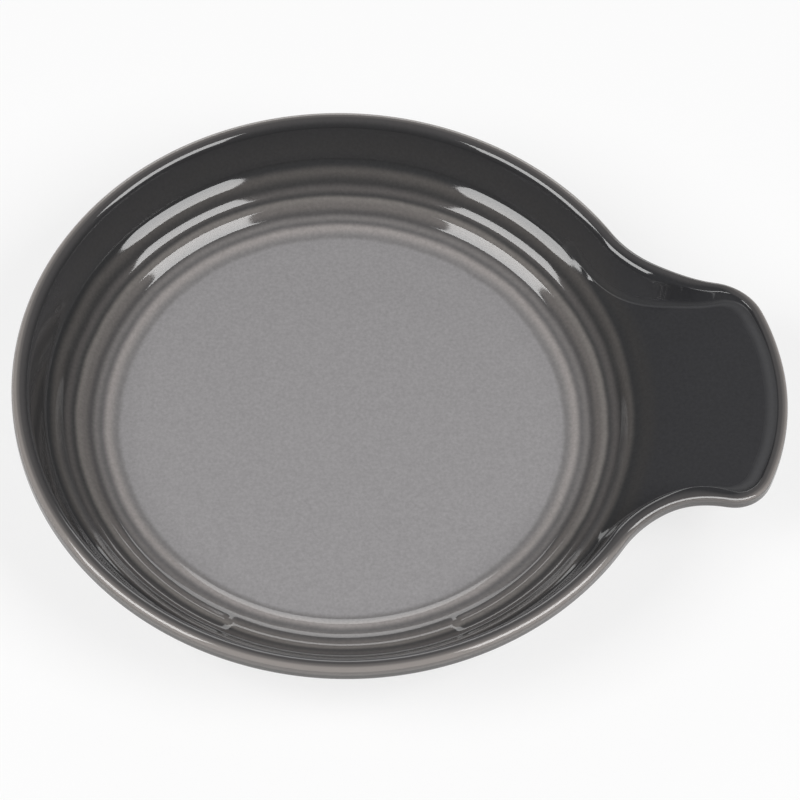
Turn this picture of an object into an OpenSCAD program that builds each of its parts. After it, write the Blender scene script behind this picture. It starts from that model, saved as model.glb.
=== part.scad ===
// A round stoneware spoon rest: a shallow dish with three raised rings round its floor,
// and a short broad handle that the spoon's stem lies in.
// The origin is on the dish's axis, on the table. +X points along the handle, +Z is up.
// Every size is taken over the glaze. The clay lies one glaze thickness inside it.

/* [Dish] */
// Diameter over the rim
rim_d = 130; // [112:1:170]
// Height from the table to the top of the rim
dish_h = 24; // [22:0.5:30]
// Thickness of the floor
floor_t = 6; // [4.5:0.5:7.5]
// Run of the inside wall, from the rim's inner edge in to the floor
wall_run = 15.6; // [14:0.2:19]
// Slope of the upper wall inside, in degrees
wall_slope = 66; // [60:1:72]
// Slope of the wall outside, in degrees
outer_slope = 58; // [50:1:64]
// Radius of the rounded belly under the outside wall
belly_r = 33; // [26:1:60]

/* [Rim] */
// Width of the rim's top, before its edges are rounded
rim_w = 2.9; // [2.4:0.1:3.6]
// Rounding of the rim's edges
rim_round = 1.2; // [0.7:0.1:1.4]
// Height of the upright outer side of the rim
rim_side = 1.9; // [1.6:0.1:2.6]

/* [Rings] */
// Height of the middle and top rings
ring_h = 0.75; // [0.4:0.05:1]
// Height of the low ring, at the edge of the floor
low_ring_h = 0.5; // [0.3:0.05:0.8]
// Width of each ring at its foot
ring_w = 4.2; // [3.6:0.1:4.6]
// Distance between the low and the middle ring
low_pitch = 5.5; // [4.6:0.1:6.5]
// Distance between the middle and the top ring
top_pitch = 4.55; // [4:0.05:6]
// Run of the gentle slope at the edge of the floor
lower_run = 4.2; // [3:0.1:5.5]
// Slope at the edge of the floor, in degrees
lower_slope = 20; // [14:1:26]
// Slope of the ringed wall, in degrees
ring_slope = 33; // [28:1:38]
// Angle over which the middle ring leaves the wall bare, at the front
bare_angle = 54; // [30:1:80]

/* [Handle] */
// How far the handle stands out past the rim
handle_len = 22.8; // [16:0.2:34]
// Width of the handle
handle_w = 51; // [40:1:66]
// Radius of the handle's bowed end
end_r = 49; // [40:1:80]
// Rounding of the handle's two corners
corner_r = 9.5; // [4:0.5:14]
// Radius of the hollow curve where the handle leaves the rim
neck_r = 24; // [10:1:28]
// How far the handle's trough lies below the rim, where it leaves the dish
trough_drop = 9; // [7:0.2:11]
// How much the trough rises towards the handle's end
trough_rise = 4.8; // [2.5:0.1:5.6]
// Length of the curve on which the trough climbs out of the dish before it levels off
trough_bend = 9; // [6:0.5:13]
// Slope of the trough's sides, in degrees
trough_slope = 68; // [60:1:76]
// Rounding between the trough's bottom and its sides
trough_round = 4; // [2:0.5:5]
// Radius of the long curve on which the handle's raised sides come down
bow_r = 66; // [64:1:120]
// Height of the raised sides above the trough, at the handle's end
lip_up = 0.6; // [0.3:0.1:1.2]
// Thickness of the handle under the trough, at the dish
root_t = 4.6; // [3.6:0.1:6]
// Thickness of the handle under the trough, at its end
lip_t = 3.4; // [2.8:0.1:4.6]

/* [Foot and glaze] */
// Height of the foot ring
foot_h = 2.2; // [1.4:0.1:3]
// Width of the foot ring
foot_w = 4; // [3:0.1:6]
// How far the foot ring stands in from the edge of the floor
foot_in = 1; // [0.5:0.1:3]
// Thickness of the glaze
glaze_t = 0.4; // [0.2:0.05:0.5]

/* [Hidden] */
$fn = 96;

// Colours of the fired clay and of the glaze
clay_colour = [0.79, 0.72, 0.62];
pale_grey = [0.56, 0.55, 0.56];
charcoal = [0.22, 0.22, 0.23];
warm_grey = [0.36, 0.34, 0.34];

// How far a cutting shape runs past what it cuts
over = 3;
// Softness of the bends at the edge of the floor, under the middle ring and under the upper wall
toe_soft = 0.6;
break_soft = 0.5;
knee_soft = 0.45;
// Flat stretch of floor that is drawn with the wall, inside the low ring
floor_rim = 3.2;
// Bare land between the foot ring and the belly
foot_land = 1;
// How far the neck's curve runs in past the rim's rounded edge, so that the two cross
bite_more = 0.1;
// How much lower the handle's upright edge reaches than the rim's
side_step = 0.2;
// How far inside the rim's radius the raised sides begin to come down
fall_back = 5;
// Share of the middle ring's width that is cut away where the wall is bare
bare_share = 0.85;
// Angle up to which the rim's outer edge is rounded
edge_turn = 60;

// Where a turned shape begins and ends, away from the handle
seam_turn = 150;

// Share of the neck that the trough's side follows before it leaves straight into the dish, and how far it goes
mouth_share = 0.85;
mouth_run = 9;

// Steps along the inside wall, on the round stretches and at the foot of the trough's sides
wall_steps = 60;
arc_steps = 8;
trough_steps = 4;

rim_r = rim_d / 2;
rim_in_r = rim_r - rim_w;
floor_z = foot_h + floor_t;
toe_r = rim_in_r - wall_run;
break_r = toe_r + lower_run;
ring_half = ring_w / 2;
low_ring_r = toe_r;
mid_ring_r = low_ring_r + low_pitch;
top_ring_r = mid_ring_r + top_pitch;

// The knee, where the ringed wall meets the upper wall
break_z = floor_z + tan(lower_slope) * lower_run;
knee_r = (break_z - tan(ring_slope) * break_r - dish_h + tan(wall_slope) * rim_in_r)
    / (tan(wall_slope) - tan(ring_slope));
// The two glaze colours meet on the outer flank of the top ring
seam_r = top_ring_r + ring_half / 4;

// The inside wall ends where the rim's inner edge begins to round
inner_tangent = rim_round * tan(wall_slope / 2);
wall_end_r = rim_in_r - inner_tangent * cos(wall_slope);
wall_start_r = toe_r - floor_rim;

foot_r = toe_r - foot_in;
foot_in_r = foot_r - foot_w;
belly_start = [foot_r + foot_land, foot_h];

reach = rim_r + handle_len;
half_w = handle_w / 2;
trough_z = dish_h - trough_drop;
fall_x = rim_r - fall_back;
end_z = trough_z + trough_rise + lip_up;
box_top = dish_h + over;
block_top = dish_h + over / 2;
box_reach = reach + over;

// A bend that starts at x = 0 and turns into a straight rise
function ramp(x, soft) = soft * ln(1 + exp(x / soft));
function ramp_slope(x, soft) = 1 / (1 + exp(-x / soft));
// A rounded ridge, one high at x = 0 and nothing past its half width
function ridge(x) = abs(x) < ring_half ? (1 + cos(180 * x / ring_half)) / 2 : 0;
function ridge_slope(x) = abs(x) < ring_half ? -sin(180 * x / ring_half) * PI / ring_w : 0;

// Height and slope of the inside of the dish at a radius, with the middle ring at mid times its height
function inside_z(r, mid) = floor_z
    + tan(lower_slope) * ramp(r - toe_r, toe_soft)
    + (tan(ring_slope) - tan(lower_slope)) * ramp(r - break_r, break_soft)
    + (tan(wall_slope) - tan(ring_slope)) * ramp(r - knee_r, knee_soft)
    + low_ring_h * ridge(r - low_ring_r)
    + ring_h * (mid * ridge(r - mid_ring_r) + ridge(r - top_ring_r));
function inside_slope(r, mid) =
    tan(lower_slope) * ramp_slope(r - toe_r, toe_soft)
    + (tan(ring_slope) - tan(lower_slope)) * ramp_slope(r - break_r, break_soft)
    + (tan(wall_slope) - tan(ring_slope)) * ramp_slope(r - knee_r, knee_soft)
    + low_ring_h * ridge_slope(r - low_ring_r)
    + ring_h * (mid * ridge_slope(r - mid_ring_r) + ridge_slope(r - top_ring_r));
// The point on the inside at a radius, sunk square to the surface
function inside_point(r, mid, sink) =
    let (slope = inside_slope(r, mid), run = sqrt(1 + slope * slope))
    [r + sink * slope / run, inside_z(r, mid) - sink / run];

function arc(centre, r, from, to, steps) =
    [for (i = [0:steps]) let (a = from + (to - from) * i / steps) centre + r * [cos(a), sin(a)]];

// Inside of the dish from the floor to the rim's top, as points of radius and height
function inside_wall(sink) = [for (i = [0:wall_steps - 1])
    inside_point(wall_start_r + (wall_end_r - wall_start_r) * i / wall_steps, 1, sink)];
function rim_inner_edge(sink) =
    arc([rim_in_r + inner_tangent, dish_h - rim_round], rim_round - sink, 90 + wall_slope, 90, arc_steps);

// The belly's arc touches the straight outside wall and passes through the foot of the belly
side_foot = [rim_r, dish_h - rim_side];
side_run = [cos(outer_slope), sin(outer_slope)];
side_in = [-sin(outer_slope), cos(outer_slope)];
belly_gap = side_foot + belly_r * side_in - belly_start;
belly_dot = belly_gap * side_run;
belly_along = -belly_dot + sqrt(belly_dot * belly_dot - belly_gap * belly_gap + belly_r * belly_r);
belly_centre = side_foot + belly_r * side_in + belly_along * side_run;
// How much the foot of the upright side climbs for each step inwards
side_climb = tan((90 - outer_slope) / 2);

// Outside of the dish from the base to above the rim, moved in by the thickness given
function outside_wall(inset) =
    let (r = belly_r - inset, low = foot_h + inset, start = acos((belly_centre[1] - low) / r))
    concat(
        [[0, low]],
        arc(belly_centre, r, start - 90, outer_slope - 90, arc_steps),
        [[rim_r - inset, side_foot[1] + inset * side_climb]],
        arc([rim_r - rim_round, dish_h - rim_round], rim_round - inset, 0, edge_turn, arc_steps),
        [[rim_r - rim_round + (rim_round - inset) * cos(edge_turn), box_top + inset], [0, box_top + inset]]);

// Height of the handle's raised sides along their length: a long arc from the rim down to the end
fall_chord = [reach - fall_x, end_z - dish_h];
fall_half = norm(fall_chord) / 2;
fall_up = [-fall_chord[1], fall_chord[0]] / norm(fall_chord);
fall_centre = [fall_x, dish_h] + fall_chord / 2 - sqrt(bow_r * bow_r - fall_half * fall_half) * fall_up;
function side_z(x) = x < fall_x ? dish_h
    : fall_centre[1] + sqrt(bow_r * bow_r - (x - fall_centre[0]) * (x - fall_centre[0]));
// Height of the trough's bottom along the handle: it climbs out of the dish and levels off
function trough_floor(x) = trough_z + trough_rise * (1 - exp(-max(0, x - knee_r) / trough_bend));
// Height of the handle's underside along its length
function under_z(x) = let (share = (x - knee_r) / (reach - knee_r))
    trough_z - root_t + share * (trough_rise + root_t - lip_t);

// Plan of the handle: its bowed end, its corners, and the necks that run into the rim
end_x = reach - end_r;
corner_y = half_w - corner_r;
corner_x = end_x + sqrt((end_r - corner_r) * (end_r - corner_r) - corner_y * corner_y);
end_turn = atan2(corner_y, corner_x - end_x);
neck_rim_r = rim_r - rim_round * (1 - cos(edge_turn)) - bite_more;
// The neck is limited to what the straight side leaves room for
neck_room = (corner_x * corner_x + half_w * half_w - neck_rim_r * neck_rim_r) / (2 * (neck_rim_r - half_w));
neck = min(neck_r, neck_room);
neck_y = half_w + neck;
neck_x = sqrt((neck_rim_r + neck) * (neck_rim_r + neck) - neck_y * neck_y);
neck_turn = 90 - atan2(neck_y, neck_x);

// Each station is a centre, a radius, the way that an inset changes the radius, and an angle
half_stations = concat(
    [for (i = [1:arc_steps]) [end_x, 0, end_r, -1, end_turn * i / arc_steps]],
    [for (i = [1:arc_steps]) [corner_x, corner_y, corner_r, -1, end_turn + (90 - end_turn) * i / arc_steps]],
    [for (i = [0:arc_steps]) [neck_x, neck_y, neck, 1, 270 - neck_turn * i / arc_steps]]);
half_count = len(half_stations);
stations = concat(
    [for (i = [1:half_count]) let (s = half_stations[half_count - i]) [s[0], -s[1], s[2], s[3], -s[4]]],
    [[end_x, 0, end_r, -1, 0]],
    half_stations);
count = len(stations);
function station_point(s, inset) =
    [s[0] + (s[2] + s[3] * inset) * cos(s[4]), s[1] + (s[2] + s[3] * inset) * sin(s[4])];

// Strips across a loop of points, from each point to the one opposite
function strips(n) = [for (i = [0:floor((n - 1) / 2) - 1])
    2 * i + 3 == n ? [i, i + 1, i + 2] : [i, i + 1, n - 2 - i, n - 1 - i]];

// A solid drawn through flat loops of points, one above the other
module loft(loops) {
    n = len(loops[0]);
    top = (len(loops) - 1) * n;
    points = [for (loop = loops) each loop];
    faces = concat(
        strips(n),
        [for (s = strips(n)) [for (i = [1:len(s)]) top + s[len(s) - i]]],
        [for (k = [0:n:top - n], i = [0:n - 1]) [k + i, k + n + i, k + n + (i + 1) % n]],
        [for (k = [0:n:top - n], i = [0:n - 1]) [k + i, k + n + (i + 1) % n, k + (i + 1) % n]]);
    polyhedron(points, faces);
}

// The handle's outer shape: an upright edge along the plan, and under it a side that slopes in to the
// underside. It is open to the trough above.
module handle_block(inset) {
    edge = [for (s = stations) station_point(s, inset)];
    edge_z = [for (s = stations) side_z(station_point(s, 0)[0]) - rim_side - side_step];
    draft = [for (i = [0:count - 1])
        inset / sin(outer_slope) + (edge_z[i] - under_z(edge[i][0]) - inset) / tan(outer_slope)];
    under = [for (i = [0:count - 1]) station_point(stations[i], draft[i])];
    loft([
        [for (p = under) [p[0], p[1], under_z(p[0]) + inset]],
        [for (i = [0:count - 1]) [edge[i][0], edge[i][1], edge_z[i] + inset * side_climb]],
        [for (p = edge) [p[0], p[1], block_top + inset]]]);
}

// All that lies inside the outer surface, with nothing yet taken out above the floor
module outer_form(inset) {
    rotate([0, 0, seam_turn]) rotate_extrude() polygon(outside_wall(inset));
    handle_block(inset);
}

// The open space over the dish and the rim
module dish_space(sink) {
    wall = inside_wall(sink);
    rotate([0, 0, seam_turn]) rotate_extrude() polygon(concat(
        [[0, wall[0][1]]], wall, rim_inner_edge(sink),
        [[box_reach, dish_h - sink], [box_reach, box_top + over], [0, box_top + over]]));
}

// The bare stretch of wall at the front, where the middle ring is left out
module bare_stretch(sink) {
    from = mid_ring_r - ring_half * bare_share;
    to = mid_ring_r + ring_half * bare_share;
    base = [for (i = [0:arc_steps]) inside_point(from + (to - from) * i / arc_steps, 0, sink)];
    last = base[arc_steps];
    turn = bare_angle + 2 * asin(sink / mid_ring_r);
    rotate([0, 0, -90 - turn / 2]) rotate_extrude(angle = turn)
        polygon(concat(base, [[last[0], last[1] + over], [base[0][0], last[1] + over]]));
}

// One side of the trough in plan, at a distance inside the plan: from past the end, along the handle and the
// neck, and straight on into the dish
function trough_side(inset) =
    let (r = neck + inset, last = 270 - neck_turn * mouth_share, leave = [sin(last), -cos(last)])
    concat(
        [[box_reach, half_w - inset]],
        [for (i = [0:arc_steps]) let (a = 270 - neck_turn * mouth_share * i / arc_steps)
            [neck_x + r * cos(a), neck_y + r * sin(a)]],
        [[neck_x, neck_y] + r * [cos(last), sin(last)] + mouth_run * leave]);
function trough_loop(inset, up) =
    let (side = trough_side(inset), n = len(side))
    [for (p = concat([for (i = [1:n]) [side[n - i][0], -side[n - i][1]]], side))
        [p[0], p[1], trough_floor(p[0]) + up]];

// The trough along the handle, open at its end
module trough_space(sink) {
    flat_in = rim_w + trough_drop / tan(trough_slope) + trough_round * tan(trough_slope / 2);
    curve = arc([-flat_in, trough_round], trough_round + sink, -90, trough_slope - 90, trough_steps);
    last = curve[trough_steps];
    tall = box_top + over - trough_z;
    brink = [last[0] + (tall - last[1]) / tan(trough_slope), tall];
    loft([for (p = concat(curve, [brink])) trough_loop(-p[0], p[1])]);
}

// What is cut off above the handle's raised sides
module fall_space(sink) {
    difference() {
        translate([fall_centre[0], -box_reach, end_z - over])
            cube([box_reach - fall_centre[0], 2 * box_reach, box_top + over - end_z]);
        translate([fall_centre[0], 0, fall_centre[1]]) rotate([90, 0, 0])
            cylinder(h = 4 * box_reach, r = bow_r - sink, center = true);
    }
}

// All the open space above the top surface, sunk into it by the depth given
module space_above(sink) {
    dish_space(sink);
    bare_stretch(sink);
    trough_space(sink);
    fall_space(sink);
}

// The coat on everything that is seen from above
module top_coat() {
    difference() {
        intersection() {
            outer_form(glaze_t);
            space_above(glaze_t);
        }
        space_above(0);
    }
}

// The coat on everything that is seen from below
module lower_coat() {
    difference() {
        outer_form(0);
        outer_form(glaze_t);
        space_above(0);
    }
}

module stoneware_body() {
    color(clay_colour) {
        difference() {
            outer_form(glaze_t);
            space_above(glaze_t);
        }
        rotate_extrude()
            polygon([[foot_in_r, 0], [foot_r, 0], [foot_r, floor_z / 2], [foot_in_r, floor_z / 2]]);
    }
}

module well_glaze() {
    color(pale_grey) intersection() {
        top_coat();
        cylinder(h = box_top, r = seam_r);
    }
}

module rim_glaze() {
    color(charcoal) difference() {
        top_coat();
        translate([0, 0, -over]) cylinder(h = box_top + 2 * over, r = seam_r);
    }
}

module outside_glaze() {
    color(warm_grey) difference() {
        lower_coat();
        translate([0, 0, -over]) cylinder(h = floor_z / 2 + over, r = foot_r);
    }
}

module base_glaze() {
    color(warm_grey) intersection() {
        lower_coat();
        cylinder(h = floor_z / 2, r = foot_in_r);
    }
}

stoneware_body();
well_glaze();
rim_glaze();
outside_glaze();
base_glaze();
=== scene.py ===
# %% [markdown]
# # A stoneware spoon rest
#
# A spoon rest is a shallow round dish with a short broad handle. It is pressed from clay in one piece, dipped
# in glaze and fired, so it has no screws and no joints. What the eye sees is the glaze: pale grey in the dish,
# charcoal on the wall and the handle, and lighter wherever it runs thin over an edge.
#
# The solid model is loaded first as a fixed frame. It gives the place and the size of every piece, and the
# pieces made below stand in for its plain solids.

# %% Load the frame
import math

import bpy
import numpy as np
from mathutils import Matrix, Vector


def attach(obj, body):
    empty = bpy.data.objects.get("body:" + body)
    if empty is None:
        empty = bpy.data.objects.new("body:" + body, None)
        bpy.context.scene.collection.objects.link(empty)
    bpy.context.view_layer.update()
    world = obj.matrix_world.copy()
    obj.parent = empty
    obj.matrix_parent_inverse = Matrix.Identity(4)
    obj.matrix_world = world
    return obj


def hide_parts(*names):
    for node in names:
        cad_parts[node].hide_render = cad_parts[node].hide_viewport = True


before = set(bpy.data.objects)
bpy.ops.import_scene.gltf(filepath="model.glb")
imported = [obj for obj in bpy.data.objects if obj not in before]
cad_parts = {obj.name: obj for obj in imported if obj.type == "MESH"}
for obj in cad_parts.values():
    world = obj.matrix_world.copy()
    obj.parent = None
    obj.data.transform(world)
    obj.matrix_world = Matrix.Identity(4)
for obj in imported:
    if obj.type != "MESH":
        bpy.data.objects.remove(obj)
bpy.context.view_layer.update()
bpy.ops.object.select_all(action="DESELECT")
print("nodes:", sorted(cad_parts))

# %% [markdown]
# ## The dish in numbers
#
# A potter would cut a template of the wall and hold it against the turning clay. The template here is a
# formula: a flat floor, then straight slopes with a soft bend wherever one meets the next. Each entry of turns
# gives the radius of a bend, the slope after it in degrees and how soft the bend is. Gentle and steep slopes
# take turns, and that makes the three rings. The last bend is the knee, where the steep upper wall starts.
#
# A stretch at the front has no middle ring, so it has a plainer template of its own. Sizes are in millimetres,
# as on a drawing, and become metres only when a point is made.

# %% Sizes of the dish
MM = 0.001
rim_r = 65.0  # the rim's outer radius
rim_z = 24.0  # its height above the table
rim_w = 2.9  # its width on top
rim_round = 1.35  # the rounding of its outer edge
rim_side = 3.0  # the height of its upright outer side
brink_round = 1.55  # the rounding of its inner edge
rim_in_r = rim_r - rim_w
floor_z = 8.2
foot_r = 45.5  # the foot ring's outer radius
foot_in_r = 41.5  # its inner radius
foot_top = 2.2  # the height of the recessed base inside it
glaze_t = 0.4  # the thickness of every coat of glaze
seam_r = 57.075  # where the pale glaze meets the charcoal
wall_slope = math.tan(math.radians(68.5))
knee_soft = 0.2
turns = ((44.6, 22.0, 0.25), (46.6, -3.0, 0.25), (48.2, 20.5, 0.2), (49.85, 37.0, 0.12), (51.6, 12.0, 0.12),
         (53.95, 34.0, 0.12), (55.07, 48.0, 0.15), (56.92, 32.0, 0.15))
middle = (49.85, 51.6, 53.95, 55.07)  # the bends of the middle ring
bare_turns = [(middle[0], 5.0, 0.2), (51.2, 31.6, 0.3)]  # what takes the place of the first three at the front


def bend(x, soft):
    """A line that is level before zero and climbs after it, with a soft corner"""
    return soft * math.log1p(math.exp(x / soft)) if x < 20 * soft else x


def bends_of(turns):
    """Each change of slope as a radius, an amount and a softness"""
    bends, slope = [], 0.0
    for r, angle, soft in turns:
        bends.append((r, math.tan(math.radians(angle)) - slope, soft))
        slope += bends[-1][1]
    return bends


def height_on(bends, r):
    return floor_z + sum(amount * bend(r - at, soft) for at, amount, soft in bends)


def inside_height(r):
    return height_on(rings, r)


rings = bends_of(turns)
last_slope = sum(amount for r, amount, soft in rings)
axis_z = floor_z - sum(amount * r for r, amount, soft in rings)  # where the last slope's line meets the axis
knee_r = (axis_z - rim_z + wall_slope * rim_in_r) / (wall_slope - last_slope)
knee_z = axis_z + last_slope * knee_r
rings.append((knee_r, wall_slope - last_slope, knee_soft))
bare_wall = bends_of(sorted([turn for turn in turns if turn[0] not in middle[:3]] + bare_turns))
print("the upper wall starts at radius", round(knee_r, 2))
for r in (0, 46.5, 51.6, 56.9, 61.7):
    print("radius", r, "height", round(inside_height(r), 2))

# %% [markdown]
# ## A lathe
#
# A turned piece could be made from a cylinder with many cuts, or with a Screw modifier. Spin is closest to the
# real thing: one point is extruded step by step into the template's line, and the line is swept once round
# the Z axis. The sweep ends where it began, so the doubled points are merged, and the faces are then turned
# to look outwards. A coat of glaze is an open sheet, and a Solidify modifier gives it its thickness.

# %% Turn a profile
weld = 0.004  # points nearer to each other than this are one point
smooth_angle = math.radians(50)  # edges sharper than this stay sharp in the shading


def pick(piece):
    """Makes a piece the only selected object, since operators work on what is selected"""
    bpy.ops.object.select_all(action="DESELECT")
    piece.select_set(True)
    bpy.context.view_layer.objects.active = piece


def begin_piece(name, start):
    """A new mesh object in edit mode that is a single point at start, in millimetres"""
    bpy.ops.object.select_all(action="DESELECT")
    bpy.ops.mesh.primitive_plane_add(size=MM, location=(0, 0, 0))
    piece = bpy.context.object
    piece.name = name
    piece.data.name = name
    bpy.ops.object.mode_set(mode="EDIT")
    bpy.ops.mesh.select_all(action="SELECT")
    bpy.ops.mesh.merge(type="CENTER")
    bpy.ops.transform.translate(value=[c * MM for c in start])
    return piece


def turned(name, profile, columns):
    """The profile, a list of radius and height, swept once round the Z axis"""
    piece = begin_piece(name, (profile[0][0], 0, profile[0][1]))
    for (r0, z0), (r1, z1) in zip(profile, profile[1:]):
        step = ((r1 - r0) * MM, 0, (z1 - z0) * MM)
        bpy.ops.mesh.extrude_region_move(TRANSFORM_OT_translate={"value": step})
    bpy.ops.mesh.select_all(action="SELECT")
    bpy.ops.mesh.spin(steps=columns, angle=2 * math.pi, center=(0, 0, 0), axis=(0, 0, 1))
    bpy.ops.mesh.select_all(action="SELECT")
    bpy.ops.mesh.remove_doubles(threshold=weld * MM)
    bpy.ops.mesh.normals_make_consistent(inside=False)
    bpy.ops.object.mode_set(mode="OBJECT")
    print(name, "turned:", len(piece.data.vertices), "points,", len(piece.data.polygons), "faces")
    return piece


def points_of(piece):
    flat = np.empty(len(piece.data.vertices) * 3)
    piece.data.vertices.foreach_get("co", flat)
    return flat.reshape(-1, 3) / MM


def put_points(piece, points):
    piece.data.vertices.foreach_set("co", (points * MM).ravel())
    piece.data.update()


def face_along(piece, sign):
    """Turns the faces of an open sheet so that most look up (sign 1) or down (sign -1)"""
    lift = sum(face.normal.z * face.area for face in piece.data.polygons)
    if lift * sign < 0:
        pick(piece)
        bpy.ops.object.mode_set(mode="EDIT")
        bpy.ops.mesh.select_all(action="SELECT")
        bpy.ops.mesh.flip_normals()
        bpy.ops.object.mode_set(mode="OBJECT")


def thicken(piece):
    """Gives an open sheet of glaze its thickness, inwards from its face, and smooths its shading"""
    pick(piece)
    wall = piece.modifiers.new("thickness", "SOLIDIFY")
    wall.thickness = glaze_t * MM
    wall.offset = -1
    bpy.ops.object.modifier_apply(modifier=wall.name)
    bpy.ops.object.shade_smooth_by_angle(angle=smooth_angle)
    print(piece.name, "is now a closed coat of", len(piece.data.polygons), "faces")


print("points closer than", weld, "mm will be merged")

# %% [markdown]
# ## The coat in the dish
#
# The pale glaze covers the floor and the three rings, and ends on the outer side of the top ring, where the
# charcoal begins. Its template has few points on the flat floor. On the rings the points gather round each
# bend, so that the light runs smoothly over it.

# %% Turn the well
flat_radii = [0.0, 8.0, 16.0, 24.0, 32.0, 38.0]
slope_start = 43.6
slope_shares = (0.0, 0.07, 0.15, 0.28, 0.5, 0.72, 0.85, 0.93)
bend_radii = [slope_start] + [turn[0] for turn in turns] + [seam_r]
well_radii = list(flat_radii)
for near_r, far_r in zip(bend_radii, bend_radii[1:]):
    well_radii += [near_r + (far_r - near_r) * share for share in slope_shares]
well_rows = [(r, inside_height(r)) for r in well_radii + [seam_r]]
print("rows in the well:", len(well_rows))
well = turned("well_glaze", well_rows, 540)
face_along(well, 1)

# %% [markdown]
# The middle ring stops short on both sides of the front and leaves a bare band of wall there. Past each end of
# the ring, the height goes over from the ringed template to the plainer one along a smooth curve.

# %% End the middle ring at the front
bare_half = 27.0  # half of the bare stretch, in degrees
bare_fade = 3.0  # the length over which an end of the ring fades away
bare_margin = 0.7  # how far beside the ring points are moved as well


def end_middle_ring(piece):
    points = points_of(piece)
    radius = np.hypot(points[:, 0], points[:, 1])
    from_front = np.degrees(np.abs(np.arctan2(points[:, 0], -points[:, 1])))
    on_ring = (radius > middle[0] - bare_margin) & (radius < middle[3] + bare_margin)
    near = np.nonzero(on_ring & (points[:, 2] > floor_z) & (from_front < bare_half))[0]
    for i in near:
        past = math.radians(bare_half - from_front[i]) * middle[1]
        gone = (1 - math.cos(math.pi * min(1.0, past / bare_fade))) / 2
        points[i, 2] += gone * (height_on(bare_wall, radius[i]) - inside_height(radius[i]))
    put_points(piece, points)
    print(piece.name, "points moved for the bare band:", len(near))


end_middle_ring(well)

# %% [markdown]
# ## The plan of the handle
#
# Seen from above, the outline is the rim's circle, a hollow neck, a short straight side, a round corner and a
# bowed end. A column of the lathe is given a place on that outline: columns near zero degrees go to the end of
# the handle, the next to the corner and the neck, and the rest stay on the circle. The rows near the rim keep
# their distance from the outline, so the rim and the wall flow round into the handle with an even width.

# %% The outline and its columns
tip_x = 87.8
end_r = 49.0
corner_r = 9.5
neck_r = 24.0
half_w = 25.5
end_x = tip_x - end_r
corner_y = half_w - corner_r
corner_x = end_x + math.sqrt((end_r - corner_r) ** 2 - corner_y ** 2)
end_turn = math.atan2(corner_y, corner_x - end_x)
neck_y = half_w + neck_r
neck_x = math.sqrt((rim_r + neck_r) ** 2 - neck_y ** 2)
neck_turn = math.atan2(neck_x, neck_y)
rim_turn = math.atan2(neck_y, neck_x)
end_col, corner_col, side_col, neck_col, free_col = 20.0, 27.0, 29.5, 45.0, 60.0


def rim_angle(column):
    """Where a column of the bowl stands on the rim's circle, in radians"""
    return rim_turn + (column - neck_col) / (180 - neck_col) * (math.pi - rim_turn)


def outline(column):
    """Point on the outline, and the direction into the object, for a column from 0 to 180"""
    if column <= end_col:
        turn = end_turn * column / end_col
        out = (math.cos(turn), math.sin(turn))
        return (end_x + end_r * out[0], end_r * out[1]), (-out[0], -out[1])
    if column <= corner_col:
        turn = end_turn + (math.pi / 2 - end_turn) * (column - end_col) / (corner_col - end_col)
        out = (math.cos(turn), math.sin(turn))
        return (corner_x + corner_r * out[0], corner_y + corner_r * out[1]), (-out[0], -out[1])
    if column <= side_col:
        along = (column - corner_col) / (side_col - corner_col)
        return (corner_x + (neck_x - corner_x) * along, half_w), (0.0, -1.0)
    if column <= neck_col:
        turn = 1.5 * math.pi - neck_turn * (column - side_col) / (neck_col - side_col)
        way = (math.cos(turn), math.sin(turn))
        return (neck_x + neck_r * way[0], neck_y + neck_r * way[1]), way
    turn = rim_angle(column)
    out = (math.cos(turn), math.sin(turn))
    return (rim_r * out[0], rim_r * out[1]), (-out[0], -out[1])


spoke_columns = (0.0, end_col, side_col, 37.0, neck_col, free_col)
spoke_degrees = (0.0, 8.5, 12.5, 20.5, 31.0, math.degrees(rim_angle(free_col)))


def round_angle(column):
    """Where a column stands on the round rows inside the dish and under it, in radians"""
    if column >= free_col:
        return rim_angle(column)
    return math.radians(float(np.interp(column, spoke_columns, spoke_degrees)))


for column in (0, end_col, corner_col, side_col, neck_col, 180):
    print("column", column, "stands at", [round(c, 1) for c in outline(column)[0]])

# %% [markdown]
# ## Heights along the handle
#
# The raised sides leave the rim level and come down in an even curve. The trough between them climbs out of
# the dish at the slope of the ringed wall and levels off, so the sides die away at the corners and the
# spoon's stem can lie across the end. The underside climbs too, and leaves the end thin.

# %% Sides, trough and underside
fall_x, fall_end, end_z = 62.0, 84.0, 20.4  # where the sides start to fall, where they end, and how low
trough_rise = 5.8
trough_bend = trough_rise / last_slope
under_x, under_z, under_slope = 57.8, 10.4, 0.2
lip_rise = 0.12  # how far the lip of the end stands above the trough
lip_y, lip_end_y = 8.0, 20.5  # where the lip starts to climb into the sides, and where it has


def ease(x, low, high):
    t = min(1.0, max(0.0, (x - low) / (high - low)))
    return t * t * (3 - 2 * t)


def mix(a, b, t):
    return tuple(p + (q - p) * t for p, q in zip(a, b))


def trough_height(x, y):
    """Height of the trough's bottom, which leaves the dish on the slope of the top ring"""
    r = math.hypot(x, y)
    climb = trough_rise * (1 - math.exp(-max(0.0, r - seam_r) / trough_bend))
    return inside_height(seam_r) + climb


def under_height(x):
    return under_z + (x - under_x) * under_slope


def top_height(x, y):
    """Height of the rim and of the handle's raised sides at a point of the outline"""
    if x <= fall_x:
        return rim_z
    side = rim_z + (end_z - rim_z) * ease(x, fall_x, fall_end)
    lip = trough_height(x, y) + lip_rise
    return lip + (side - lip) * ease(abs(y), lip_y, lip_end_y) if x > corner_x else side


for x, y in ((60, 30), (71.5, 25.5), (80.8, 22.2), (85, 14), (87.8, 0)):
    print("top at", (x, y), round(top_height(x, y), 2), "trough", round(trough_height(x, y), 2))

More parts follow.
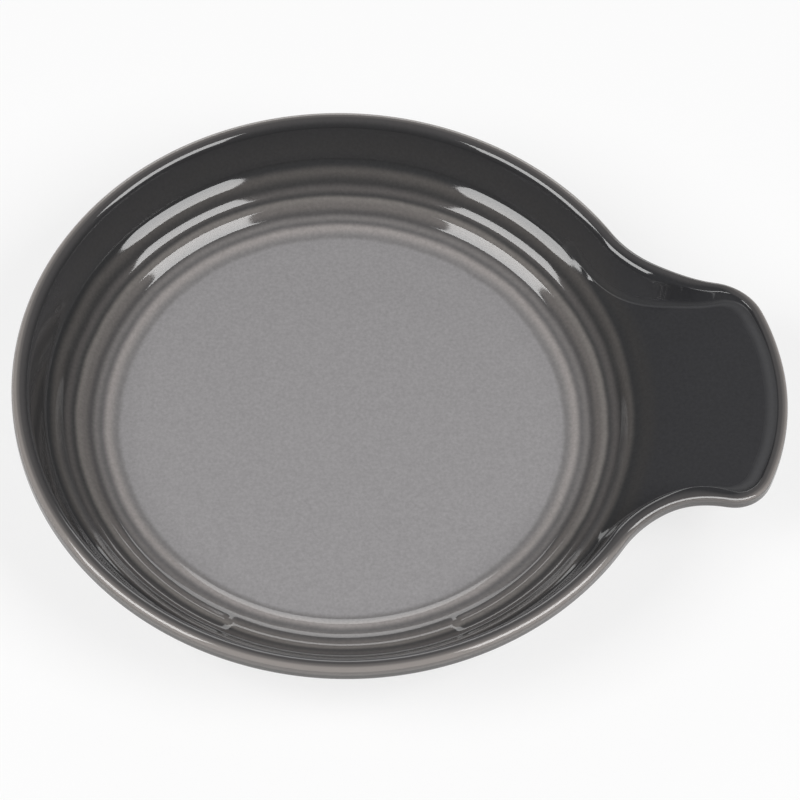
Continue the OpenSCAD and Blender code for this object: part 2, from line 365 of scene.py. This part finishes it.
# %% [markdown]
# ## A column inside: seam, trough and wall
#
# A column starts at the seam on the top ring, crosses the floor of the trough, climbs the wall and goes over
# the rim. On the bowl the trough's floor has no width, so its rows lie close together in the bend of the wall.
# On the handle the same rows spread out. The two forms are mixed along the neck, so that nothing jumps.
#
# The handle's wall is found by trial: it leans on the rim's inner edge, and where its foot meets the trough
# depends on the trough's height there, so a few rounds bring the two together. Towards the end of the handle
# the wall leans out more, the rim gets narrower and its edges get finer.

# %% Rows inside a column
handle_col = 33.0  # columns below this belong to the handle alone
seam_radii = (seam_r, 57.2, 57.35, 57.5)
knee_from, knee_width = 58.5, 0.9
knee_to = knee_from + knee_width
round_steps, wall_steps, trough_steps = 8, 6, 18
trough_gather = 2.2  # above one, the trough's rows lie closer together near the seam
soft_x, soft_end_x = 70.0, 80.0  # where the wall starts to lean out and the rim to narrow, and where they end
wall_lean, end_lean = 68, 48  # the slope of the handle's wall in degrees, before that and after it
end_loss = 1.0  # how much of the rim's width is lost
edge_x, edge_end_x, edge_loss = 55.0, 68.0, 0.5  # where the rim's outer edge gets finer, and by how much
brink_x, brink_end_x, brink_loss = 62.0, 69.0, 0.9  # where its inner edge does, and the share that is lost
first_run, least_run, most_run = 4.0, 0.3, 3.5  # how far the wall's foot lies inside its top
foot_round = 1.2
crease_col, crease_cols = 49.0, 4.0  # the column where the wall's foot starts to sharpen, and over how many
crease_share = 0.96


def rounded(before, corner, after, steps):
    """Points on the curve that rounds a corner off"""
    curve = []
    for i in range(steps + 1):
        t = i / steps
        curve.append(mix(mix(before, corner, t), mix(corner, after, t), t))
    return curve


def column_frame(column):
    """A column's point on the outline, the way in from there, its spoke in the dish and its share of handle"""
    edge, inward = outline(column)
    turn = round_angle(column)
    return edge, inward, (math.cos(turn), math.sin(turn)), ease(column, neck_col, handle_col)


wall_angle = math.atan(wall_slope)
wall_end = rim_in_r - brink_round * math.cos(wall_angle)
bowl_radii = [knee_from + knee_width * i / round_steps for i in range(round_steps + 1)]
bowl_radii += [knee_to + (wall_end - knee_to) * i / wall_steps for i in range(1, wall_steps)]
bowl_wall = [(rim_r - r, inside_height(r)) for r in bowl_radii]
bowl_wall += rounded((rim_r - wall_end, rim_z - brink_round * math.sin(wall_angle)), (rim_w, rim_z),
                     (rim_w - brink_round, rim_z), round_steps)


def handle_wall(x, top, edge_r, beside):
    """The foot of the handle's wall, and the wall's points up to the rim, as insets and heights"""
    soften = ease(x, soft_x, soft_end_x)
    width = rim_w - end_loss * soften
    lean = math.tan(math.radians(wall_lean + (end_lean - wall_lean) * soften))
    run = first_run
    for trial in range(3):
        base = trough_height(*beside(width + run, 0)[:2])
        run = min(max((top - base) / lean, least_run), most_run)
    foot = (width + run, base)
    brink = (width, top)
    length = math.dist(foot, brink)
    along = ((brink[0] - foot[0]) / length, (brink[1] - foot[1]) / length)
    low = min(foot_round, 0.4 * length)
    brink_r = brink_round * (1 - brink_loss * ease(x, brink_x, brink_end_x))
    high = min(brink_r, 0.5 * length, width - edge_r)
    before = (foot[0] + low, trough_height(*beside(foot[0] + low, 0)[:2]))
    climb = rounded(before, foot, (foot[0] + low * along[0], foot[1] + low * along[1]), round_steps)
    climb_end = (brink[0] - high * along[0], brink[1] - high * along[1])
    climb += [mix(climb[-1], climb_end, i / wall_steps) for i in range(1, wall_steps)]
    return foot, climb + rounded(climb_end, brink, (width - high, top), round_steps)


def inner_rows(column):
    """A column's points from the seam to the rim, and what the rows beyond the rim start from"""
    edge, inward, spoke, on_handle = column_frame(column)
    top = top_height(*edge)
    edge_r = rim_round - edge_loss * ease(edge[0], edge_x, edge_end_x)

    def beside(inset, z):
        return (edge[0] + inward[0] * inset, edge[1] + inward[1] * inset, z)

    def edge_row(angle):
        """A point on the rim's rounded outer edge: 90 degrees is its top and 0 its side"""
        turn = math.radians(angle)
        return beside(edge_r - edge_r * math.cos(turn), top - edge_r + edge_r * math.sin(turn))

    rows = []
    for r in seam_radii:
        x, y = r * spoke[0], r * spoke[1]
        rows.append((x, y, inside_height(r) + on_handle * (trough_height(x, y) - inside_height(r))))
    start = rows[-1]

    foot, climb = handle_wall(edge[0], top, edge_r, beside)
    wall = [mix(b, c, on_handle) for b, c in zip(bowl_wall, climb)]
    crease = mix((rim_r - knee_r, knee_z), foot, on_handle)
    sharp = crease_share * ease(crease_col - column, 0.0, crease_cols)
    wall = [mix(p, crease, sharp) for p in wall[:round_steps + 1]] + wall[round_steps + 1:]
    goal = beside(*wall[0])
    for i in range(1, trough_steps):
        t = (i / trough_steps) ** trough_gather
        x, y, z = mix(start, goal, t)
        bowl_z = inside_height(seam_radii[-1] + t)
        trough_z = trough_height(x, y)
        rows.append((x, y, bowl_z + on_handle * (trough_z - bowl_z)))
    return rows + [beside(*p) for p in wall], beside, top, edge_row


print("rows inside a column:", len(inner_rows(0.0)[0]))

# %% [markdown]
# ## A column outside: side, belly and foot
#
# Below the rim's upright side the bowl slopes in and then rounds into a belly that ends at the foot ring.
# Under the handle the rows run inwards first, along its flat underside, and then meet the belly in a soft
# hollow. The charcoal coat takes the rows inside and the top of the rim's edge, and the coat outside takes the
# rest. The last function gives the lathe the template of the plain bowl, without a handle.

# %% Rows outside a column
outer_slope = math.tan(math.radians(58))
belly_centre, belly_r, belly_top = (32.262, 31.984), 33.0, (60.235, 14.476)
shoulder = 0.4  # the rounding under the rim's upright side
side_loss = 0.4  # how much lower that side is on the handle
slope_z, tuck_z, tuck_end_z, join_z = 21.2, 12.2, 11.4, 9.6  # heights that divide the bowl's outside into rows
slope_steps, tuck_steps, under_steps, belly_steps = 8, 6, 16, 12
under_gather = 1.4  # above one, the rows under the handle lie closer together near the belly
under_inset = 4.0  # how far inside the outline the underside's height is taken
under_hollow = 3.5  # the width of the hollow where the underside meets the belly
under_round = 1.5  # the rounding where the handle's side meets its underside
belly_end_r = 46.5


def outside_radius(z):
    """Radius of the outside of the bowl at a height: a belly below, a straight slope above"""
    if z > belly_top[1]:
        return rim_r - (rim_z - rim_side - z) * (rim_r - belly_top[0]) / (rim_z - rim_side - belly_top[1])
    return belly_centre[0] + math.sqrt(belly_r ** 2 - (belly_centre[1] - z) ** 2)


def outside_height(r):
    return belly_centre[1] - math.sqrt(belly_r ** 2 - (r - belly_centre[0]) ** 2)


levels = [slope_z + (tuck_z - slope_z) * i / slope_steps for i in range(1, slope_steps)]
levels += [tuck_z + (tuck_end_z - tuck_z) * i / tuck_steps for i in range(tuck_steps + 1)]
bowl_side = [(rim_r - outside_radius(z), z) for z in levels]
tuck_r, join_r = outside_radius(tuck_end_z), outside_radius(join_z)


def outer_rows(column, beside, top):
    """A column's points from the rim's upright side down to the foot ring"""
    spoke, on_handle = column_frame(column)[2:]
    side = top - rim_side + side_loss * on_handle
    below = under_height(beside(under_inset, 0)[0])
    under = ((side - below) / outer_slope, below)
    length = math.dist((0, side), under)
    along = (under[0] / length, (under[1] - side) / length)
    corner = rounded((0, side + shoulder), (0, side), (shoulder * along[0], side + shoulder * along[1]), 4)
    turn_in = min(under_round, 0.45 * length)
    drop = (under[0] - turn_in * along[0], under[1] - turn_in * along[1])
    draft = [mix(corner[-1], drop, i / slope_steps) for i in range(1, slope_steps)]
    draft += rounded(drop, under, (under[0] + turn_in, below), tuck_steps)
    rows = [beside(*p) for p in corner]
    rows += [beside(*mix(b, c, on_handle)) for b, c in zip(bowl_side, draft)]

    start = rows[-1]
    goal = (join_r * spoke[0], join_r * spoke[1], join_z)
    gap = math.hypot(goal[0] - start[0], goal[1] - start[1])
    for i in range(1, under_steps):
        t = 1 - (1 - i / under_steps) ** under_gather
        x, y, _ = mix(start, goal, t)
        bowl_z = outside_height(tuck_r + (join_r - tuck_r) * t)
        hollow = max(0.0, 1 - (1 - t) * gap / min(under_hollow, gap)) ** 2
        flat_z = under_height(x) + (join_z - under_height(x)) * hollow
        rows.append((x, y, bowl_z + on_handle * (flat_z - bowl_z)))
    for i in range(belly_steps + 1):
        r = join_r + (belly_end_r - join_r) * i / belly_steps
        rows.append((r * spoke[0], r * spoke[1], outside_height(r)))
    rows.append((foot_r * spoke[0], foot_r * spoke[1], foot_top))
    return rows


def rim_rows(column):
    rows, beside, top, edge_row = inner_rows(column)
    return rows + [edge_row(angle) for angle in (80, 70, 60, 50, 40, 30)]


def outside_rows(column):
    rows, beside, top, edge_row = inner_rows(column)
    return [edge_row(angle) for angle in (30, 20, 10, 0)] + outer_rows(column, beside, top)


def bowl_profile(rows_of):
    return [(math.hypot(x, y), z) for x, y, z in rows_of(180.0)]


print("rows on the rim:", len(rim_rows(0.0)), "rows outside:", len(outside_rows(0.0)))

# %% [markdown]
# ## Draw the handle out of the bowl
#
# The rim and the outside are first turned as a plain bowl. Then each point finds its row by its radius and
# height, and its column by its angle, and moves to where that column runs on the real outline. Pulling a
# handle out by proportional editing would do for a sketch, but the rim would not keep its width.

# %% Shape a turned piece into the object's plan
def draw_handle(piece, rows_of):
    """Moves a turned piece's points to their places, and returns each point's column and row"""
    profile = np.array(bowl_profile(rows_of))
    points = points_of(piece)
    angle = np.degrees(np.arctan2(points[:, 1], points[:, 0]))
    radius = np.hypot(points[:, 0], points[:, 1])
    columns = {}
    places = np.zeros((len(points), 2))
    for i in range(len(points)):
        column = round(abs(float(angle[i])), 3)
        if column not in columns:
            columns[column] = rows_of(column)
        row = int(np.argmin(np.abs(profile[:, 0] - radius[i]) + np.abs(profile[:, 1] - points[i, 2])))
        x, y, z = columns[column][row]
        points[i] = (x, math.copysign(y, angle[i]), z)
        places[i] = (column, row)
    put_points(piece, points)
    print(piece.name, "drawn out over", len(columns), "columns")
    return places


coat_columns = 720
rim = turned("rim_glaze", bowl_profile(rim_rows), coat_columns)
face_along(rim, 1)
rim_places = draw_handle(rim, rim_rows)
outside = turned("outside_glaze", bowl_profile(outside_rows), coat_columns)
face_along(outside, -1)
draw_handle(outside, outside_rows)

# %% [markdown]
# ## The clay
#
# Under the glaze is one piece of fired clay. Only its foot ring stays bare, because glaze there would stick to
# the kiln's shelf. It is turned from the same rows, with the foot added, and then drawn in by the thickness
# of the glaze everywhere but on the foot. The recessed base inside the ring gets a flat coat of its own.

# %% Turn the body and the base coat
foot_edge = 0.35  # the bevel on both edges of the foot ring
foot_mid = 1.0  # the height of one more row on both sides of it
base_gap = 0.1  # the gap between the ring and the coat inside it
clay_margin = 0.05
foot_rows = [(foot_r, foot_mid), (foot_r, foot_edge), (foot_r - foot_edge, 0.0), (foot_in_r + foot_edge, 0.0),
             (foot_in_r, foot_edge), (foot_in_r, foot_mid)]
foot_rows += [(r, foot_top) for r in (foot_in_r, 34.0, 22.0, 11.0, 0.0)]


def round_rows(profile, column):
    turn = round_angle(column)
    return [(r * math.cos(turn), r * math.sin(turn), z) for r, z in profile]


def body_rows(column):
    inner, beside, top, edge_row = inner_rows(column)
    flat = len(flat_radii)
    rows = round_rows(well_rows[:flat] + well_rows[flat:-1:2], column) + inner
    rows += [edge_row(angle) for angle in (60, 30, 0)]
    return rows + outer_rows(column, beside, top) + round_rows(foot_rows, column)


body = turned("stoneware_body", bowl_profile(body_rows), 360)
draw_handle(body, body_rows)
end_middle_ring(body)
bpy.ops.object.mode_set(mode="EDIT")
bpy.ops.mesh.select_all(action="DESELECT")
bpy.ops.object.mode_set(mode="OBJECT")
for vertex in body.data.vertices:
    on_foot = vertex.co.z < (foot_top - clay_margin) * MM
    vertex.select = not on_foot
bpy.ops.object.mode_set(mode="EDIT")
bpy.ops.transform.shrink_fatten(value=-glaze_t * MM)
bpy.ops.object.mode_set(mode="OBJECT")
bpy.ops.object.shade_smooth_by_angle(angle=smooth_angle)
print("body stands at height", round(points_of(body)[:, 2].min(), 3))

base_rows = [(r, foot_top) for r in (foot_in_r - base_gap, 36.0, 27.0, 18.0, 9.0, 0.0)]
base = turned("base_glaze", base_rows, 180)
face_along(base, -1)

# %% [markdown]
# ## Where the glaze runs thin
#
# Molten glaze draws back from edges and runs thin there. So the coats keep a number at each point that says
# how far it lies from the outline, and the finishes read it as an attribute called edge. It sets where the
# glaze runs thin, and on the charcoal coat where a band of painted shade lies just inside the rim. The pale
# line along the edge is narrower on the handle, so the number is made a little larger there. A second
# attribute, dull, marks the crease at the foot of the handle's walls, where the glaze has pooled and doesn't
# shine.

# %% Mark the edges and the crease
far_away = 20.0
block_size = 4000  # points that are measured at once
rim_shift, outside_shift = 0.9, 0.12  # what is added to the distance along the handle
shade_shift, shade_from, shade_width = 5.0, 1.8, 1.5  # what hides the painted shade beside the rim at the handle's end
crease_rows = range(len(seam_radii) + trough_steps - 1, len(seam_radii) + trough_steps + round_steps)
dull_col, dull_cols = 52.5, 3.5  # the column where the crease starts to lose its shine, and over how many


def mark(piece, name, values):
    layer = piece.data.attributes.new(name, "FLOAT", "POINT")
    layer.data.foreach_set("value", np.asarray(values, dtype=np.float32))


def edge_distance(points):
    """How far each point lies from the outline in plan, and how far below the rounded edge of the rim there"""
    loop = [outline(column)[0] for column in np.linspace(0, 180, 1081)]
    tops = np.array([top_height(*point) for point in loop])
    loop = np.array(loop)
    away, below = np.empty(len(points)), np.empty(len(points))
    for part in range(0, len(points), block_size):
        block = points[part:part + block_size]
        plan = np.stack([block[:, 0], np.abs(block[:, 1])], axis=1)
        gaps = np.sqrt(((plan[:, None, :] - loop[None, :, :]) ** 2).sum(-1))
        away[part:part + block_size] = gaps.min(1)
        below[part:part + block_size] = tops[gaps.argmin(1)] - rim_round - block[:, 2]
    return away, np.maximum(below, 0.0)


mark(base, "edge", np.full(len(base.data.vertices), far_away))
for piece in (rim, outside):
    points = points_of(piece)
    away, below = edge_distance(points)
    sides = np.array([ease(x, 45.0, 60.0) - 0.5 * ease(x, 74.0, 82.0) for x in points[:, 0]])
    ends = np.array([ease(x, 68.0, 78.0) for x in points[:, 0]])
    if piece == outside:
        # On the outside the distance also grows with the depth below the rim's rounded edge, which makes the
        # upright side darker: painted shade.
        away = np.where(below > 0.01, away + 0.5 * below, 0.0) + outside_shift * sides
    else:
        away += rim_shift * sides + shade_shift * ends * np.clip((away - shade_from) / shade_width, 0, 1)
    mark(piece, "edge", away)
    print(piece.name, "nearest to the outline:", round(float(away.min()), 3))
dull = [ease(dull_col - column, 0.0, dull_cols) * (row in crease_rows) for column, row in rim_places]
mark(rim, "dull", dull)
for piece in (well, rim, outside, base):
    thicken(piece)

# %% [markdown]
# ## The glaze
#
# One recipe colours the whole object. The tone depends on the distance from the dish's middle, as it does
# when a darker glaze is sprayed round the edge: pale on the floor, lighter and warmer on each ring and charcoal
# outside them. Light is painted into it as well: painted shade darkens the grooves and creases between the
# rings, and a painted reflection lightens the middle of each band between them. It is a node group, so that
# every coat shares it and adds its own strength. The border between two colours wanders a little, because
# nothing sprayed has a ruled edge.

# %% The shared glaze tone
# Radius and colour: the glaze itself, with painted shade in the grooves and painted reflection on the bands
# between them.
tones_with_painted_light = (
    (40.0, (150, 148, 149)), (43.6, (148, 146, 147)), (44.7, (126, 124, 124)), (46.4, (153, 148, 146)),
    (47.8, (106, 104, 104)), (48.7, (119, 116, 115)), (49.8, (86, 84, 84)), (51.0, (110, 106, 104)),
    (52.2, (119, 115, 112)), (53.2, (70, 69, 69)), (54.3, (90, 87, 86)), (55.4, (64, 63, 63)),
    (56.8, (87, 84, 82)), (58.2, (53, 53, 54)), (60.0, (58, 57, 57)), (63.0, (54, 54, 56)),
)
tone_low, tone_high = 38.0, 64.0
wander_width = 0.6


def linear(*srgb):
    return tuple(((c / 255 + 0.055) / 1.055) ** 2.4 if c > 10 else c / 255 / 12.92 for c in srgb)


def node(tree, kind, **settings):
    made = tree.nodes.new(kind)
    for key, value in settings.items():
        setattr(made, key, value)
    return made


def feed(tree, socket, value):
    """Puts a number or a colour on a socket, or links another node's output to it"""
    if isinstance(value, (int, float)):
        socket.default_value = value
    elif isinstance(value, tuple):
        socket.default_value = (*value, 1)
    else:
        tree.links.new(value, socket)


def math_node(tree, operation, first, second=None, clamp=False):
    made = node(tree, "ShaderNodeMath", operation=operation, use_clamp=clamp)
    feed(tree, made.inputs[0], first)
    if second is not None:
        feed(tree, made.inputs[1], second)
    return made.outputs[0]


def mix_node(tree, blend, factor, first, second):
    made = node(tree, "ShaderNodeMix", data_type="RGBA", blend_type=blend)
    for socket, value in zip((made.inputs[0], made.inputs[6], made.inputs[7]), (factor, first, second)):
        feed(tree, socket, value)
    return made.outputs[2]


def noise_node(tree, coords, scale, detail, rough=0.5):
    made = node(tree, "ShaderNodeTexNoise")
    made.inputs["Scale"].default_value = scale
    made.inputs["Detail"].default_value = detail
    made.inputs["Roughness"].default_value = rough
    tree.links.new(coords, made.inputs["Vector"])
    return made.outputs["Fac"]


group = bpy.data.node_groups.new("glaze_tone", "ShaderNodeTree")
for name in ("Mottle", "Thin", "Deep_and_shade"):
    group.interface.new_socket(name, in_out="INPUT", socket_type="NodeSocketFloat")
group.interface.new_socket("Tone", in_out="OUTPUT", socket_type="NodeSocketColor")
group.interface.new_socket("Height", in_out="OUTPUT", socket_type="NodeSocketFloat")
entry = node(group, "NodeGroupInput")
leave = node(group, "NodeGroupOutput")
coords = node(group, "ShaderNodeTexCoord").outputs["Object"]
split = node(group, "ShaderNodeSeparateXYZ")
group.links.new(coords, split.inputs[0])
square = math_node(group, "MULTIPLY", split.outputs["X"], split.outputs["X"])
square = math_node(group, "ADD", square, math_node(group, "MULTIPLY", split.outputs["Y"], split.outputs["Y"]))
radius = math_node(group, "SQRT", square)
wander = math_node(group, "SUBTRACT", noise_node(group, coords, 90, 2), 0.5)
radius = math_node(group, "ADD", radius, math_node(group, "MULTIPLY", wander, wander_width * MM))
share = math_node(group, "SUBTRACT", radius, tone_low * MM)
share = math_node(group, "DIVIDE", share, (tone_high - tone_low) * MM, clamp=True)
ramp = node(group, "ShaderNodeValToRGB")
ramp.color_ramp.interpolation = "EASE"
stops = ramp.color_ramp.elements
while len(stops) > 1:
    stops.remove(stops[-1])
for i, (r, colour) in enumerate(tones_with_painted_light):
    stop = stops[0] if i == 0 else stops.new((r - tone_low) / (tone_high - tone_low))
    stop.position = (r - tone_low) / (tone_high - tone_low)
    stop.color = (*linear(*colour), 1)
group.links.new(share, ramp.inputs[0])
print("tone stops:", len(stops))

# %% [markdown]
# Over the tone lie three small effects. The mottle is fine noise. The deep colour is nearly black: it is the
# outside's own glaze, and on the charcoal coat it is painted shade in a band just inside the rim. Where the
# glaze is thin the warm clay shows through. The height output is a faint ripple, which keeps the
# reflections from looking drawn with a ruler.
#
# A finish is one material that wears the recipe. How thin its glaze is, and on the charcoal coat where the
# painted shade lies, comes from the edge attribute, through a ramp of distances in millimetres and strengths.

# %% Mottle, deep glaze with painted shade, and thin glaze
# The deep colour is the outside's own glaze, and on the charcoal coat it is painted shade.
deep_glaze_and_shade_colour = linear(38, 38, 39)
thin_colour = linear(158, 152, 148)
glaze_ior = 1.6
edge_reach = 10.0  # the distance from the outline that the ramps cover
rim_rough = 0.06

mottle = math_node(group, "SUBTRACT", noise_node(group, coords, 1500, 3, 0.65), 0.5)
mottle = math_node(group, "MULTIPLY", mottle, entry.outputs["Mottle"])
mottle = math_node(group, "ADD", mottle, 1.0)
grey = node(group, "ShaderNodeCombineColor")
for socket in grey.inputs[:3]:
    group.links.new(mottle, socket)
toned = mix_node(group, "MULTIPLY", 1.0, ramp.outputs["Color"], grey.outputs[0])
toned = mix_node(group, "MIX", entry.outputs["Deep_and_shade"], toned, deep_glaze_and_shade_colour)
toned = mix_node(group, "MIX", entry.outputs["Thin"], toned, thin_colour)
group.links.new(toned, leave.inputs["Tone"])
group.links.new(noise_node(group, coords, 110, 2), leave.inputs["Height"])


def ripple(tree, shader, height, strength, distance):
    """Bends the shader's reflections by a height"""
    bump = node(tree, "ShaderNodeBump")
    bump.inputs["Strength"].default_value = strength
    bump.inputs["Distance"].default_value = distance * MM
    tree.links.new(height, bump.inputs["Height"])
    tree.links.new(bump.outputs["Normal"], shader.inputs["Normal"])


def new_finish(name, rough):
    """A material with its node tree and its shader"""
    material = bpy.data.materials.new(name)
    material.use_nodes = True
    shader = material.node_tree.nodes["Principled BSDF"]
    shader.inputs["Roughness"].default_value = rough
    return material, material.node_tree, shader


def glaze(name, mottle, rough):
    material, tree, shader = new_finish(name, rough)
    shader.inputs["IOR"].default_value = glaze_ior
    recipe = node(tree, "ShaderNodeGroup", node_tree=group)
    recipe.inputs["Mottle"].default_value = mottle
    ripple(tree, shader, recipe.outputs["Height"], 0.015, 0.4)
    tree.links.new(recipe.outputs["Tone"], shader.inputs["Base Color"])
    return material, tree, shader, recipe


def by_edge(tree, recipe, socket, stops):
    """Feeds an input of the recipe from the distance to the outline, by stops of millimetres and strength"""
    away = node(tree, "ShaderNodeAttribute", attribute_name="edge")
    scaled = math_node(tree, "DIVIDE", away.outputs["Fac"], edge_reach, clamp=True)
    curve = node(tree, "ShaderNodeValToRGB")
    curve.color_ramp.interpolation = "EASE"
    for i, (mm, strength) in enumerate(stops):
        stop = curve.color_ramp.elements[i] if i < 2 else curve.color_ramp.elements.new(mm / edge_reach)
        stop.position = mm / edge_reach
        stop.color = (strength, strength, strength, 1)
    tree.links.new(scaled, curve.inputs[0])
    tree.links.new(curve.outputs["Color"], recipe.inputs[socket])


well_finish = glaze("pale grey glaze", 0.5, 0.07)[0]
rim_finish, tree, shader, recipe = glaze("charcoal glaze", 0.45, rim_rough)
by_edge(tree, recipe, "Thin", ((0.0, 0.45), (0.3, 0.85), (0.75, 0.8), (1.3, 0.32), (1.8, 0.12), (3.4, 0.0)))
# A band of painted shade on the wall just inside the rim, darkest about 3 mm from the outline.
by_edge(tree, recipe, "Deep_and_shade", ((2.4, 0.0), (3.2, 0.35), (4.4, 0.2), (6.0, 0.0)))
dull = node(tree, "ShaderNodeAttribute", attribute_name="dull").outputs["Fac"]
tree.links.new(math_node(tree, "MAXIMUM", dull, rim_rough), shader.inputs["Roughness"])
print("glazes:", well_finish.name, "and", rim_finish.name)

# %% [markdown]
# ## Outside and underneath
#
# The outside wears the same recipe in one even warm grey: light on the rim's edge, darker on its upright side,
# which is painted shade, and lighter again towards the foot. The foot ring shows the bare clay, which is matt,
# sandy and buff with specks of iron. Then every piece gets its finish, its place in the frame and the solid
# that it stands in for.

# %% Outside glaze and clay
outside_finish, tree, shader, recipe = glaze("outside glaze", 0.45, 0.08)
recipe.inputs["Deep_and_shade"].default_value = 1.0
# The low strengths on the upright side under the rim's edge are painted shade.
by_edge(tree, recipe, "Thin", ((0.0, 0.5), (0.12, 0.35), (0.3, 0.2), (1.5, 0.22), (5.0, 0.45), (9.0, 0.55)))

clay, tree, shader = new_finish("bare stoneware", 0.85)
coords = node(tree, "ShaderNodeTexCoord").outputs["Object"]
grain = noise_node(tree, coords, 1800, 4, 0.65)
sand = mix_node(tree, "MIX", grain, linear(196, 180, 155), linear(226, 214, 192))
iron = math_node(tree, "SUBTRACT", noise_node(tree, coords, 2400, 1), 0.7)
iron = math_node(tree, "MULTIPLY", iron, 8.0, clamp=True)
sand = mix_node(tree, "MIX", iron, sand, linear(120, 96, 74))
tree.links.new(sand, shader.inputs["Base Color"])
ripple(tree, shader, grain, 0.3, 0.2)

dress = ((well, well_finish, "pale_glaze"), (rim, rim_finish, "charcoal_glaze"),
         (outside, outside_finish, "outside_glaze"), (base, outside_finish, "outside_glaze"),
         (body, clay, "clay"))
for piece, finish, slot in dress:
    piece.data.materials.clear()
    piece.data.materials.append(finish)
    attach(piece, "root")
    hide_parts(piece.name.split(".")[0])
    print(piece.name, "wears", finish.name)

# %% [markdown]
# ## Floor, light and camera
#
# The object stands on a plain white floor between two square softboxes, one on each side and a little nearer
# than the middle. Their reflections are the bright bars on the rings and along the rim, so their places
# were worked out from those bars. A third softbox, wide and low, stands behind the object, and the front of
# the dish reflects it. The world adds a low even fill. What the camera and the reflections see of the floor
# is partly its own light, so that it looks as white as paper without lighting the dish from below.

# %% The floor and the light
floor_glow = 0.72
camera_turn = math.radians(1.87)
lamp_distance = 1.3
side_lamp, side_power = (0.70, 0.70), 10.7
back_lamp, back_power = (1.3, 0.5), 4.5
fill = 0.1

bpy.ops.object.select_all(action="DESELECT")
bpy.ops.mesh.primitive_plane_add(size=6, location=(0, 0, 0))
floor = bpy.context.object
floor.name = "floor"
paper, tree, shader = new_finish("white floor", 0.9)
shader.inputs["Base Color"].default_value = (0.9, 0.9, 0.9, 1)
shader.inputs["Specular IOR Level"].default_value = 0.0
rays = node(tree, "ShaderNodeLightPath").outputs
seen = math_node(tree, "MAXIMUM", rays["Is Camera Ray"], rays["Is Glossy Ray"])
seen = math_node(tree, "MAXIMUM", seen, rays["Is Transmission Ray"])
white = node(tree, "ShaderNodeEmission")
white.inputs["Strength"].default_value = 1.0
both = node(tree, "ShaderNodeMixShader")
tree.links.new(math_node(tree, "MULTIPLY", seen, floor_glow), both.inputs[0])
tree.links.new(shader.outputs[0], both.inputs[1])
tree.links.new(white.outputs[0], both.inputs[2])
tree.links.new(both.outputs[0], tree.nodes["Material Output"].inputs["Surface"])
floor.data.materials.append(paper)


def turned_view(x, y, z):
    """A direction seen from the camera's side, turned into the object's own axes"""
    cos, sin = math.cos(camera_turn), math.sin(camera_turn)
    return (x * cos + y * sin, -x * sin + y * cos, z)


def softbox(name, way, long_side, size, power):
    """A cloth lamp that faces the object from a direction, with its first side along another"""
    out = Vector(turned_view(*way)).normalized()
    across = Vector(turned_view(*long_side))
    across = (across - out * across.dot(out)).normalized()
    lamp = bpy.data.lights.new(name, "AREA")
    lamp.shape = "RECTANGLE"
    lamp.size, lamp.size_y = size
    lamp.energy = power
    holder = bpy.data.objects.new(name, lamp)
    bpy.context.scene.collection.objects.link(holder)
    holder.matrix_world = Matrix((across, out.cross(across), out)).transposed().to_4x4()
    holder.location = out * lamp_distance
    print(name, "at", [round(c, 2) for c in holder.location])


softbox("left softbox", (-0.60, -0.28, 0.715), (0.39, -0.43, 0.16), side_lamp, side_power)
softbox("right softbox", (0.60, -0.28, 0.715), (-0.39, -0.43, 0.16), side_lamp, side_power)
softbox("back softbox", (0.0, 0.96, 0.28), (1.0, 0.0, 0.0), back_lamp, back_power)
world = bpy.data.worlds.new("studio")
bpy.context.scene.world = world
world.use_nodes = True
world.node_tree.nodes["Background"].inputs["Color"].default_value = (fill, fill, fill, 1)
world.node_tree.nodes["Background"].inputs["Strength"].default_value = 1.0
bpy.context.scene.view_settings.view_transform = "Standard"

# %% [markdown]
# The camera looks down from the front at a steep angle, from far away with a long lens, so the rim's circle is
# a nearly perfect ellipse. Its place was found by fitting that ellipse.

# %% The camera
lift = math.radians(58.31)
roll = math.radians(2.04)
picture = 800  # the picture's side in pixels
focal = 4590.5  # the focal length in pixels
aim_pixel = (341.7, 430.4)  # where the point that the camera was fitted to lies in the picture
aim_z = 5.28  # the height of that point on the dish's axis
distance = 14.09 * rim_r
sensor = 36

back = Vector(turned_view(0, -math.cos(lift), math.sin(lift)))
right = Vector(turned_view(1, 0, 0))
up = back.cross(right)
right, up = right * math.cos(roll) + up * math.sin(roll), up * math.cos(roll) - right * math.sin(roll)
place = Vector((0, 0, aim_z * MM)) + back * distance * MM
aside = (picture / 2 - aim_pixel[0]) / focal
down = (picture / 2 - aim_pixel[1]) / focal
back = -(right * aside - up * down - back).normalized()
right = (right - back * right.dot(back)).normalized()
up = back.cross(right)
lens = bpy.data.cameras.new("camera")
lens.sensor_width = sensor
lens.lens = sensor * focal / picture
camera = bpy.data.objects.new("camera", lens)
bpy.context.scene.collection.objects.link(camera)
camera.matrix_world = Matrix((right, up, back)).transposed().to_4x4()
camera.location = place
bpy.context.scene.camera = camera
print("camera at", [round(c, 3) for c in place], "lens", round(lens.lens, 1), "mm")
